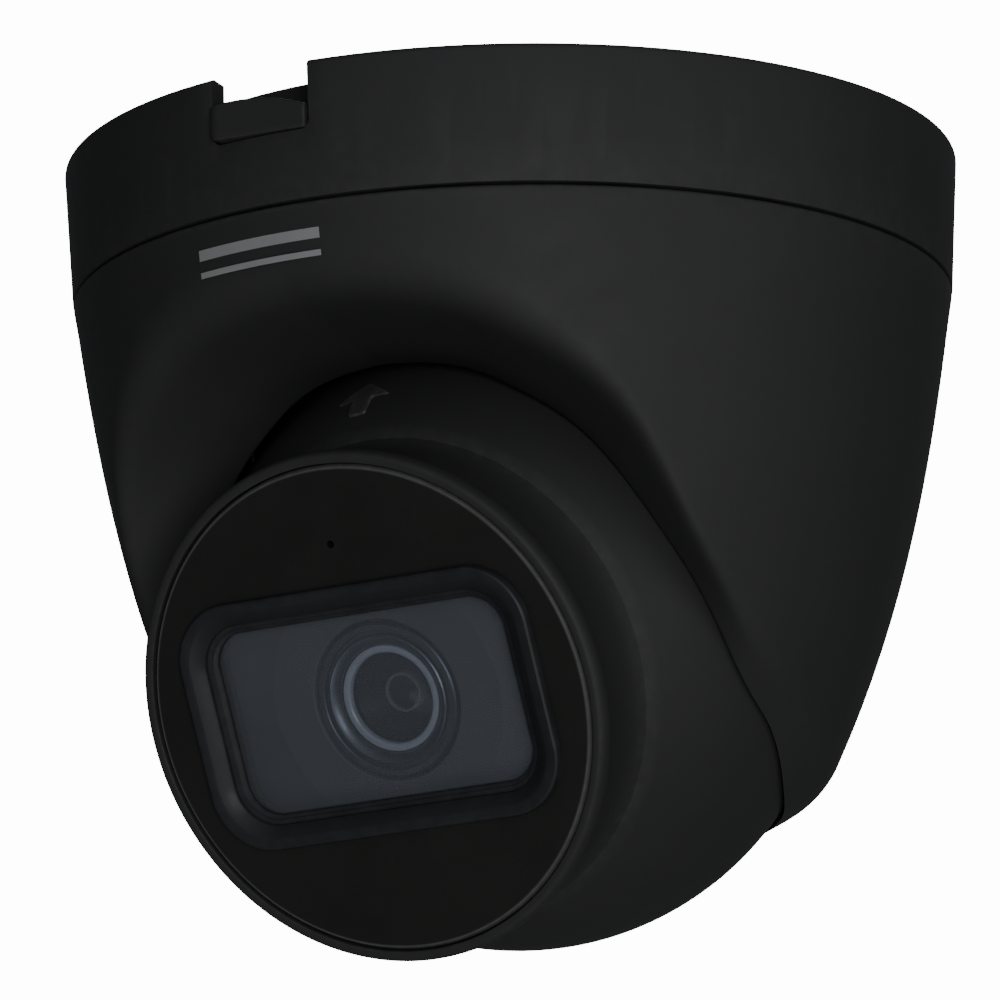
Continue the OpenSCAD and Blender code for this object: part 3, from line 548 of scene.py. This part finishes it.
def coverSection(turn):
    # closed outline (radius, height) of the cover's wall at an angle from the front
    turn = min(abs(turn), 180.0)
    top, wall, roundBy = cover["top"], cover["wall"], cover["edgeRound"]
    outer = ballZ + curveThrough(cover["outerEdge"], turn)
    inner = ballZ + curveThrough(cover["innerEdge"], turn)
    reach = cover["ballRadius"] + curveThrough(cover["mouthGap"], turn)
    blend = curveThrough(cover["browBlend"], turn)
    topRadius = coverRadius(top)

    def mouth(z):
        # radius of the opening round the ball at a height
        return math.sqrt(max(reach ** 2 - (z - ballZ) ** 2, 1.0))

    points = [(topRadius - roundBy, top)]
    points += bend((topRadius - roundBy, top), (topRadius, top), (topRadius, top - roundBy), 3)
    down = outer + blend
    for i in range(1, cover["outerSteps"] + 1):
        z = top - roundBy + (down - top + roundBy) * i / cover["outerSteps"]
        points.append((coverRadius(z), z))
    innerPoint = (mouth(inner), inner)
    corner = (coverRadius(outer), outer)
    across = Vector(innerPoint) - Vector(corner)
    landing = Vector(corner) + across * min(0.5, blend / max(across.length, 0.1))
    points += bend((coverRadius(down), down), corner, tuple(landing), cover["browSteps"])
    lipRound = min(cover["lipRound"], across.length * cover["lipShare"])
    stop = Vector(innerPoint) - across.normalized() * lipRound
    for i in range(1, cover["lipSteps"] + 1):
        points.append(tuple(landing.lerp(stop, i / cover["lipSteps"])))
    rise = inner + lipRound
    points += bend(tuple(stop), innerPoint, (mouth(rise), rise), 3)
    innerTop = inner + wall
    for i in range(1, cover["lipSteps"] + 1):
        z = rise + (innerTop - rise) * i / cover["lipSteps"]
        points.append((mouth(z), z))
    wallStart = min(max(outer, inner) + wall + cover["shelfRise"], top - cover["shelfBelowTop"])
    points.append((coverRadius(wallStart) - wall - cover["shelfIn"], wallStart - cover["shelfDown"]))
    for i in range(cover["innerSteps"] + 1):
        z = wallStart + (top - cover["innerEnd"] - wallStart) * i / cover["innerSteps"]
        points.append((coverRadius(z) - wall, z))
    spigotOut, spigotTop, edge = cover["spigotRadius"], top + cover["spigotHeight"], cover["spigotEdge"]
    spigotIn = spigotOut - cover["spigotWall"]
    points += [(spigotIn, top - cover["spigotFoot"]), (spigotIn, spigotTop - edge),
               (spigotIn + edge, spigotTop), (spigotOut - edge, spigotTop), (spigotOut, spigotTop - edge),
               (spigotOut, top)]
    return points


def buildCover():
    bm = bmesh.new()
    sections = {}

    def place(ring, angle):
        turn = math.degrees(angle)
        turn = turn if turn <= 180 else turn - 360
        key = round(abs(turn), 4)
        if key not in sections:
            sections[key] = coverSection(turn)
        r, z = sections[key][ring]
        return Vector((r * math.sin(angle), -r * math.cos(angle), z))
    grown(bm, cover["steps"], len(coverSection(0)), place)
    finished(bm, "coverShell", "cover_shell", "black_shell", crease=40)


buildCover()

coverPosts = {"radius": 39.6, "angles": [45, 135, 225, 315], "post": 2.5, "hole": 0.9, "holeDepth": 7,
              "top": -17.4, "length": 9.5, "edge": 0.25, "steps": 32}


def buildCoverPosts():
    bm = bmesh.new()
    top, wide, hole = coverPosts["top"], coverPosts["post"], coverPosts["hole"]
    low, holeLow = top - coverPosts["length"], top - coverPosts["holeDepth"]
    corners = [(0.0, low), (wide, low), (wide, top), (hole, top), (hole, holeLow), (0.0, holeLow)]
    outline = softened(corners, coverPosts["edge"], 2, False)
    outward = Matrix.Translation((coverPosts["radius"], 0, 0))
    for angle in coverPosts["angles"]:
        post = bmesh.new()
        spun(post, outline, coverPosts["steps"], closed=False)
        turned = Matrix.Rotation(math.radians(angle), 4, "Z") @ outward
        bmesh.ops.transform(post, matrix=turned, verts=post.verts)
        mesh = bpy.data.meshes.new("post")
        post.to_mesh(mesh)
        post.free()
        bm.from_mesh(mesh)
        bpy.data.meshes.remove(mesh)
    finished(bm, "coverPosts", "cover_shell", "black_shell")


buildCoverPosts()

# each bar as (rise, height, width)
printedMark = {"turn": -3.0, "height": -18.6, "bars": [(0.8, 1.1, 15.0), (-1.2, 0.6, 15.0)], "proud": 0.03,
               "thick": 0.02, "across": 24, "tall": 4}


def buildPrintedMark():
    # two plain bars printed on the cover
    bm = bmesh.new()
    for rise, tall, wide in printedMark["bars"]:
        made = bmesh.ops.create_grid(bm, x_segments=printedMark["across"], y_segments=printedMark["tall"],
                                     size=0.5)["verts"]
        for v in made:
            z = printedMark["height"] + rise + v.co.y * tall
            r = coverRadius(z) + printedMark["proud"]
            turn = math.radians(printedMark["turn"]) + v.co.x * wide / r
            v.co = Vector((r * math.sin(turn), -r * math.cos(turn), z))
    bmesh.ops.solidify(bm, geom=list(bm.faces), thickness=printedMark["thick"])
    finished(bm, "printedMark", "cover_shell", "black_shell", finish="printedGrey", standsFor=False)


buildPrintedMark()
print("cover made")


# Ball

ball = {
    "radius": 32.7, "wall": 2.2, "split": -10.0, "neckStart": 19.6, "faceRadius": 25.17, "face": 31.6,
    "rimRadius": 26.52, "rimFront": 31.7, "ledge": 21.0, "plateDepth": 2.1, "plateGap": 0.12, "steps": 224,
    "seamRound": 0.18, "seamGap": 0.02, "boreRadius": 22.9, "boreFront": 27.8, "boreBack": 17.0,
    "hollow": 16.6, "outerSteps": 40, "innerSteps": 24,
    # the neck between the sphere and the rim, as (radius, distance along the axis)
    "neck": [(25.35, 20.15), (24.98, 21.0), (24.82, 22.2), (24.84, 23.6), (25.05, 25.2), (25.45, 27.2),
             (26.0, 29.0)],
}


def buildBallFront():
    bm = bmesh.new()
    big, small = ball["radius"], ball["radius"] - ball["wall"]

    def onBall(r, d):
        return math.sqrt(r * r - d * d), d

    seam = ball["split"] + ball["seamGap"]
    outline = [(onBall(big, ball["split"])[0] - ball["seamRound"], seam)]
    first = math.asin((ball["split"] + 0.2) / big)
    last = math.asin(ball["neckStart"] / big)
    for i in range(ball["outerSteps"] + 1):
        turn = first + (last - first) * i / ball["outerSteps"]
        outline.append((big * math.cos(turn), big * math.sin(turn)))
    outline += ball["neck"]
    rim, front, face = ball["rimRadius"], ball["rimFront"], ball["faceRadius"] + ball["plateGap"]
    outline += bend(ball["neck"][-1], (rim, 29.9), (rim, 30.5), 3)
    outline += bend((rim, 30.5), (rim, front - 0.02), (rim - 0.6, front), 6)
    outline += [(face + 0.22, front)]
    outline += bend((face + 0.22, front), (face, front), (face, front - 0.22), 3)
    plateSeat, bore = ball["face"] - ball["plateDepth"], ball["boreRadius"]
    outline += [(face, plateSeat), (ball["ledge"], plateSeat), (ball["ledge"], ball["boreFront"]),
                (bore, ball["boreFront"]), (bore, ball["boreBack"])]
    for i in range(ball["innerSteps"] + 1):
        outline.append(onBall(small, ball["hollow"] + (seam - ball["hollow"]) * i / ball["innerSteps"]))
    spun(bm, outline, ball["steps"])
    finished(bm, "ballFrontShell", "ball_front_shell", "black_shell", ballSpace, crease=32)


buildBallFront()

topArrow = {"centre": (-2.3, 28.9), "length": 5.2, "width": 6.6, "stem": 2.2, "head": 2.6, "corner": 0.35,
            "proud": 0.25, "sunk": 0.2, "draft": 0.95, "cutOver": 0.8}


def buildTopArrow():
    # a plain raised arrow on the crown of the ball that points away from the face
    bm = bmesh.new()
    half, stem = topArrow["width"] / 2, topArrow["stem"] / 2
    tip = topArrow["length"] / 2
    low, neck = -tip, tip - topArrow["head"]
    corners = [(-stem, low), (stem, low), (stem, neck), (half, neck), (0, tip), (-half, neck), (-stem, neck)]
    outline = softened(corners, topArrow["corner"], 3)
    verts = [bm.verts.new((x, y, 0)) for x, y in outline]
    bmesh.ops.triangulate(bm, faces=[bm.faces.new(verts)])
    long = [e for e in bm.edges if e.calc_length() > topArrow["cutOver"]]
    bmesh.ops.subdivide_edges(bm, edges=long, cuts=2)
    bmesh.ops.triangulate(bm, faces=bm.faces)
    made = bmesh.ops.extrude_face_region(bm, geom=list(bm.faces))["geom"]
    raised = {v for v in made if isinstance(v, bmesh.types.BMVert)}
    centreX, centreY = topArrow["centre"]
    depth = math.sqrt(ball["radius"] ** 2 - centreX ** 2 - centreY ** 2)
    outward = Vector((centreX, centreY, depth)).normalized()
    away = (Vector((0, 0, -1)) + outward * outward.z).normalized()
    side = away.cross(outward).normalized()
    for v in bm.verts:
        inset = topArrow["draft"] if v in raised else 1.0
        flat = outward * ball["radius"] + side * v.co.x * inset + away * v.co.y * inset
        reach = ball["radius"] + (topArrow["proud"] if v in raised else -topArrow["sunk"])
        v.co = flat.normalized() * reach
    finished(bm, "topArrow", "ball_front_shell", "black_shell", ballSpace, finish="arrowPlastic",
             standsFor=False)


buildTopArrow()
print("ball made")


# Face

facePlate = {"radius": 25.17, "front": 31.6, "depth": 2.0, "chamfer": 0.32, "openWidth": 39.2,
             "openHeight": 23.8, "openRadius": 5.7, "micHeight": 17.1, "micRadius": 0.4, "drill": 8,
             "rim": 0.45, "steps": 192}


def buildFacePlate():
    bm = bmesh.new()
    front, back, bevel = facePlate["front"], facePlate["front"] - facePlate["depth"], facePlate["chamfer"]
    wide, tall, corner = facePlate["openWidth"], facePlate["openHeight"], facePlate["openRadius"]
    r, micRadius = facePlate["radius"], facePlate["micRadius"]
    # first the opening's edge, as (how far outside it, distance), then circles, as (radius, distance)
    rings = [(None, back), (None, front - 0.05), (0.1, front), (0.75, front),
             (r - bevel - 0.25, front), (r - bevel, front - 0.03), (r - 0.06, front - bevel),
             (r, front - bevel - 0.15), (r, back)]

    def place(ring, angle):
        size, d = rings[ring]
        if size is None or size < 1:
            more = 2 * (size or 0)
            x, y = roundedCorner(angle, wide + more, tall + more, corner + more / 2)
        else:
            x, y = onCircle(angle, size)
        return Vector((x, y, d))
    grown(bm, facePlate["steps"], len(rings), place)
    drill = bmesh.new()
    bmesh.ops.create_cone(drill, cap_ends=True, segments=32, radius1=micRadius, radius2=micRadius,
                          depth=facePlate["drill"])
    bmesh.ops.translate(drill, vec=(0, facePlate["micHeight"], front), verts=drill.verts)
    bm = cutWith(bm, drill)
    rimStart = r - facePlate["rim"]
    # only the outer rim keeps its edge mark, so the painted highlight stays on the chamfer
    finished(bm, "facePlate", "face_plate", "face_plastic", ballSpace, crease=40,
             plain=lambda place: math.hypot(place.x, place.y) < rimStart)


buildFacePlate()

bezel = {
    "steps": 192,
    # the frame's outline as (width, height, corner, distance along the axis), from its outer foot over the
    # top and down to the tube behind
    "rings": [(41.3, 25.8, 6.5, 31.6), (41.3, 25.8, 6.5, 32.15), (41.1, 25.6, 6.4, 32.38),
              (40.7, 25.2, 6.2, 32.5), (38.9, 23.6, 5.7, 32.5), (38.6, 23.3, 5.6, 32.44),
              (36.3, 21.3, 4.7, 31.75), (36.05, 21.05, 4.55, 31.6), (35.95, 20.95, 4.5, 31.2),
              (35.0, 20.1, 4.1, 31.12), (34.85, 19.95, 4.0, 31.0), (34.1, 19.25, 3.7, 30.85),
              (33.9, 19.1, 3.6, 30.7), (33.9, 19.1, 3.6, 30.4), (37.4, 22.0, 4.8, 30.4),
              (37.4, 22.0, 4.8, 26.9), (39.0, 23.6, 5.6, 26.9), (39.0, 23.6, 5.6, 31.6)],
}


def buildBezel():
    bm = bmesh.new()

    def place(ring, angle):
        width, height, corner, d = bezel["rings"][ring]
        x, y = roundedCorner(angle, width, height, corner)
        return Vector((x, y, d))
    grown(bm, bezel["steps"], len(bezel["rings"]), place)
    finished(bm, "windowBezel", "window_bezel", "bezel_plastic", ballSpace, crease=24)


buildBezel()

windowGlass = {"width": 37.2, "height": 21.8, "corner": 4.7, "front": 30.4, "depth": 1.5, "chamfer": 0.15,
               "steps": 128}


def buildGlass():
    bm = bmesh.new()
    front, bevel = windowGlass["front"], windowGlass["chamfer"]
    back = front - windowGlass["depth"]
    rings = [(2 * bevel, back), (0, back + bevel), (0, front - bevel), (2 * bevel, front)]

    def place(ring, angle):
        less, d = rings[ring]
        x, y = roundedCorner(angle, windowGlass["width"] - less, windowGlass["height"] - less,
                             windowGlass["corner"] - less / 2)
        return Vector((x, y, d))
    for loop in grown(bm, windowGlass["steps"], len(rings), place, closed=False):
        bmesh.ops.contextual_create(bm, geom=loop)       # closes the flat back and front
    finished(bm, "windowGlass", "window_glass", "window", ballSpace, crease=24)


buildGlass()

baffle = {"width": 37.2, "height": 21.8, "corner": 4.7, "hole": 8.4, "front": 28.1, "depth": 1.2,
          "ridgeStep": 0.42, "ridgeHeight": 0.06, "ridges": 12, "ridgeStart": 0.12, "squeeze": 0.02,
          "steps": 160, "edgePoints": 1440}


def buildBaffle():
    # plate round the lens with fine ridges that keep stray light down
    bm = bmesh.new()
    front, back, count = baffle["front"], baffle["front"] - baffle["depth"], baffle["edgePoints"]
    outline = [roundedCorner(i / count * 2 * math.pi, baffle["width"], baffle["height"], baffle["corner"])
               for i in range(count)]
    outline = [(math.atan2(y, x), math.hypot(x, y)) for x, y in outline]
    edges = {}

    def edgeAt(angle):
        # how far the plate's edge is from the axis in a direction
        def apart(point):
            return abs((point[0] - angle + math.pi) % (2 * math.pi) - math.pi)
        if angle not in edges:
            edges[angle] = min(outline, key=apart)[1]
        return edges[angle]

    rings = [("hole", back), ("hole", front - 0.1)]
    for k in range(baffle["ridges"]):
        rings += [(k, front), (k + 0.5, front - baffle["ridgeHeight"])]
    rings += [("edge", front - 0.05), ("edge", back)]

    def place(ring, angle):
        size, d = rings[ring]
        limit = edgeAt(angle)
        if size == "hole":
            r = baffle["hole"]
        elif size == "edge":
            r = limit
        else:
            r = baffle["hole"] + baffle["ridgeStart"] + baffle["ridgeStep"] * size
            spare = limit - baffle["squeeze"] * (baffle["ridges"] + 1 - size)
            r = min(r, spare)
        x, y = onCircle(angle, r)
        return Vector((x, y, d))
    grown(bm, baffle["steps"], len(rings), place)
    finished(bm, "lensBaffle", "lens_baffle", "baffle_plastic", ballSpace, crease=60)


buildBaffle()
print("face made")


# Lens

lens = {
    "steps": 160, "glassSteps": 128,
    # the barrel's outline as (radius, distance along the axis), from the thread's end forward and back down
    # the bore; the thread is cut into its first side
    "barrel": [(5.95, 11.0), (5.95, 22.3), (7.9, 22.4), (8.0, 22.5), (8.0, 28.0), (7.85, 28.15),
               (7.3, 28.15), (7.2, 28.05), (7.15, 27.5), (6.8, 27.5), (6.75, 27.95), (6.6, 28.05),
               (6.35, 27.95), (5.85, 27.5), (5.8, 27.35), (5.6, 27.35), (5.55, 26.6), (5.15, 26.6),
               (5.15, 22.8), (3.6, 22.8), (3.6, 14.5), (4.1, 14.5), (4.1, 11.0)],
    "threadStart": 11.4, "threadEnd": 21.8, "threadRoot": 5.7, "threadPitch": 0.6,
    # the bevelled ring that holds the front glass; its light bluish finish is a painted highlight on the
    # bevel
    "ring": [(5.52, 26.7), (5.52, 27.22), (5.44, 27.34), (5.2, 27.4), (4.92, 27.34), (4.76, 27.2),
             (4.7, 27.0), (4.7, 26.65)],
    "glassRadius": 4.68, "glassCrown": 9.0, "glassFront": 27.25, "glassBack": 26.0,
    "innerRadius": 1.75, "innerCrown": 3.2, "innerFront": 25.0, "innerBack": 24.0,
    # small ring round the inner glass; its near-white finish is a painted highlight, the bright circle at its
    # edge
    "innerEdge": [(2.05, 23.6), (2.05, 24.75), (1.97, 24.85), (1.83, 24.85), (1.77, 24.75), (1.77, 23.6)],
    # dark cone behind the front glass, with the small opening at its end
    "stop": [(4.66, 25.6), (4.66, 25.9), (2.1, 23.75), (2.05, 23.4), (1.2, 23.3), (1.2, 23.1), (4.7, 22.95)],
}


def buildBarrel():
    bm = bmesh.new()
    outline = lens["barrel"][:1]
    crest, d = outline[0][0], lens["threadStart"]
    while d < lens["threadEnd"]:
        outline += [(crest, d), (lens["threadRoot"], d + 0.25), (crest, d + 0.5)]
        d += lens["threadPitch"]
    spun(bm, outline + lens["barrel"][1:], lens["steps"])
    finished(bm, "lensBarrel", "lens_barrel", "lens_metal", ballSpace, crease=30)


def domedGlass(r, crown, front, back):
    bm = bmesh.new()
    outline = [(0.0, back), (r - 0.1, back), (r, back + 0.1)]
    edge = math.asin(r / crown)
    for i in range(25):
        turn = edge * (1 - i / 24)
        outline.append((crown * math.sin(turn), front - crown * (1 - math.cos(turn))))
    return spun(bm, outline, lens["glassSteps"], closed=False)


def buildGlasses():
    front = domedGlass(lens["glassRadius"], lens["glassCrown"], lens["glassFront"], lens["glassBack"])
    finished(front, "lensFrontElement", "lens_front_element", "lens_glass", ballSpace, crease=30)
    inner = domedGlass(lens["innerRadius"], lens["innerCrown"], lens["innerFront"], lens["innerBack"])
    finished(inner, "lensInnerElement", "lens_front_element", "lens_glass", ballSpace, finish="innerGlass",
             crease=30, standsFor=False)


def buildLensRings():
    # the ring and the inner edge carry painted highlights; the stop is plain dark
    for part, name, finish, slotName in (("ring", "lensRing", "lensBright", "lens_metal"),
                                         ("innerEdge", "lensInnerEdge", "innerBright", "lens_metal"),
                                         ("stop", "lensStop", "lensDark", "baffle_plastic")):
        bm = bmesh.new()
        spun(bm, lens[part], lens["steps"])
        finished(bm, name, "lens_barrel", slotName, ballSpace, finish=finish, crease=28, standsFor=False)


buildBarrel()
buildLensRings()
buildGlasses()
print("lens made")


# Camera, floor and light

# angles in degrees, lengths in millimetres, but near and far in metres; across and up shift where it looks
aim = {"azimuth": 31.54, "elevation": -13.55, "roll": -1.01, "distance": 922.0, "centre": (0.0, 0.0, -41.56),
       "across": -1.80, "up": 5.81, "lens": 319.8, "sensor": 36.0, "near": 0.05, "far": 20.0}


def buildCamera():
    a, e = math.radians(aim["azimuth"]), math.radians(aim["elevation"])
    back = Vector((math.sin(a) * math.cos(e), -math.cos(a) * math.cos(e), math.sin(e)))
    right = Vector((0, 0, 1)).cross(back).normalized()
    up = back.cross(right)
    c, s = math.cos(math.radians(aim["roll"])), math.sin(math.radians(aim["roll"]))
    right, up = c * right + s * up, -s * right + c * up
    centre = Vector(aim["centre"])
    position = centre + back * aim["distance"]
    target = centre + right * aim["across"] + up * aim["up"]
    back = (position - target).normalized()
    right = up.cross(back).normalized()
    up = back.cross(right)
    data = bpy.data.cameras.new("camera")
    data.lens, data.sensor_width = aim["lens"], aim["sensor"]
    data.clip_start, data.clip_end = aim["near"], aim["far"]
    camera = bpy.data.objects.new("camera", data)
    turn = Matrix((right, up, back)).transposed().to_4x4()
    camera.matrix_world = Matrix.Translation(position * metre) @ turn
    scene.collection.objects.link(camera)
    scene.camera = camera
    return right, up, back


cameraRight, cameraUp, cameraBack = buildCamera()

studio = {
    # the floor, in metres, lies below what the camera sees
    "floorHeight": -1.6, "floorSize": 14.0, "surround": (0.92, 0.96, 1.0), "backdrop": 14.0,
    "floorTones": ((0.78, 0.78, 0.78), (0.82, 0.82, 0.82)),
    # soft tents in front and behind, each as ((across, up, towards the viewer), strength, start, fall)
    "tents": [((0.2, -0.1, 1.0), 0.62, -0.1, 0.9), ((0.0, 0.2, -1.0), 0.2, 0.5, 1.0)],
    # soft boxes as (across, up, towards the viewer, size, power)
    "boxes": [(0.2, 0.08, 1.35, 0.4, 7.5), (-0.3, -0.7, 1.05, 0.6, 2.6), (1.15, 0.2, 0.75, 0.8, 2.4),
              (0.0, 0.4, -1.4, 0.5, 5.5)],
}


def buildStudio():
    mesh = bpy.data.meshes.new("floor")
    bm = bmesh.new()
    bmesh.ops.create_grid(bm, x_segments=8, y_segments=8, size=studio["floorSize"] / 2)
    bmesh.ops.translate(bm, vec=(0, 0, studio["floorHeight"]), verts=bm.verts)
    bm.to_mesh(mesh)
    bm.free()
    floor = bpy.data.objects.new("floor", mesh)
    scene.collection.objects.link(floor)
    pale, tree, shader = newFinish("paleFloor", Roughness=0.8)
    cloud = spread(tree, noiseAt(tree, noiseScale["floorCloud"], 3), 0, 1)
    tone = blended(tree, cloud, *studio["floorTones"])
    tree.links.new(tone, shader.inputs["Base Color"])
    mesh.materials.append(pale)
    world = bpy.data.worlds.new("studio")
    world.use_nodes = True
    tree = world.node_tree
    background = tree.nodes["Background"]
    background.inputs["Color"].default_value = studio["surround"] + (1.0,)
    sky = tree.nodes.new("ShaderNodeTexCoord")
    both = tree.nodes.new("ShaderNodeMath")
    for socket, ((across, up, near), strength, start, falls) in zip(both.inputs, studio["tents"]):
        facing = tree.nodes.new("ShaderNodeVectorMath")
        facing.operation = "DOT_PRODUCT"
        brightest = cameraRight * across + cameraUp * up + cameraBack * near
        facing.inputs[1].default_value = brightest.normalized()
        tree.links.new(sky.outputs["Generated"], facing.inputs[0])
        fall = tree.nodes.new("ShaderNodeMath")
        fall.operation = "POWER"
        fall.inputs[1].default_value = falls
        tree.links.new(spread(tree, facing.outputs["Value"], 0.0, 1.0, start, 1.0), fall.inputs[0])
        tree.links.new(multiplied(tree, fall.outputs[0], strength), socket)
    tree.links.new(both.outputs[0], background.inputs["Strength"])
    white = tree.nodes.new("ShaderNodeBackground")
    white.inputs["Color"].default_value = (1, 1, 1, 1)
    white.inputs["Strength"].default_value = studio["backdrop"]
    rays, mix = tree.nodes.new("ShaderNodeLightPath"), tree.nodes.new("ShaderNodeMixShader")
    tree.links.new(rays.outputs["Is Camera Ray"], mix.inputs["Fac"])
    tree.links.new(background.outputs[0], mix.inputs[1])
    tree.links.new(white.outputs[0], mix.inputs[2])
    tree.links.new(mix.outputs[0], tree.nodes["World Output"].inputs["Surface"])
    scene.world = world
    centre = Vector(aim["centre"]) * metre
    for i, (across, up, near, size, power) in enumerate(studio["boxes"]):
        light = bpy.data.lights.new(f"softBox{i}", "AREA")
        light.shape, light.size, light.energy = "DISK", size, power
        box = bpy.data.objects.new(f"softBox{i}", light)
        place = centre + cameraRight * across + cameraUp * up + cameraBack * near
        box.visible_camera = False
        turned = (place - centre).to_track_quat("Z", "Y").to_matrix().to_4x4()
        box.matrix_world = Matrix.Translation(place) @ turned
        scene.collection.objects.link(box)


buildStudio()
print("camera, floor and light made")
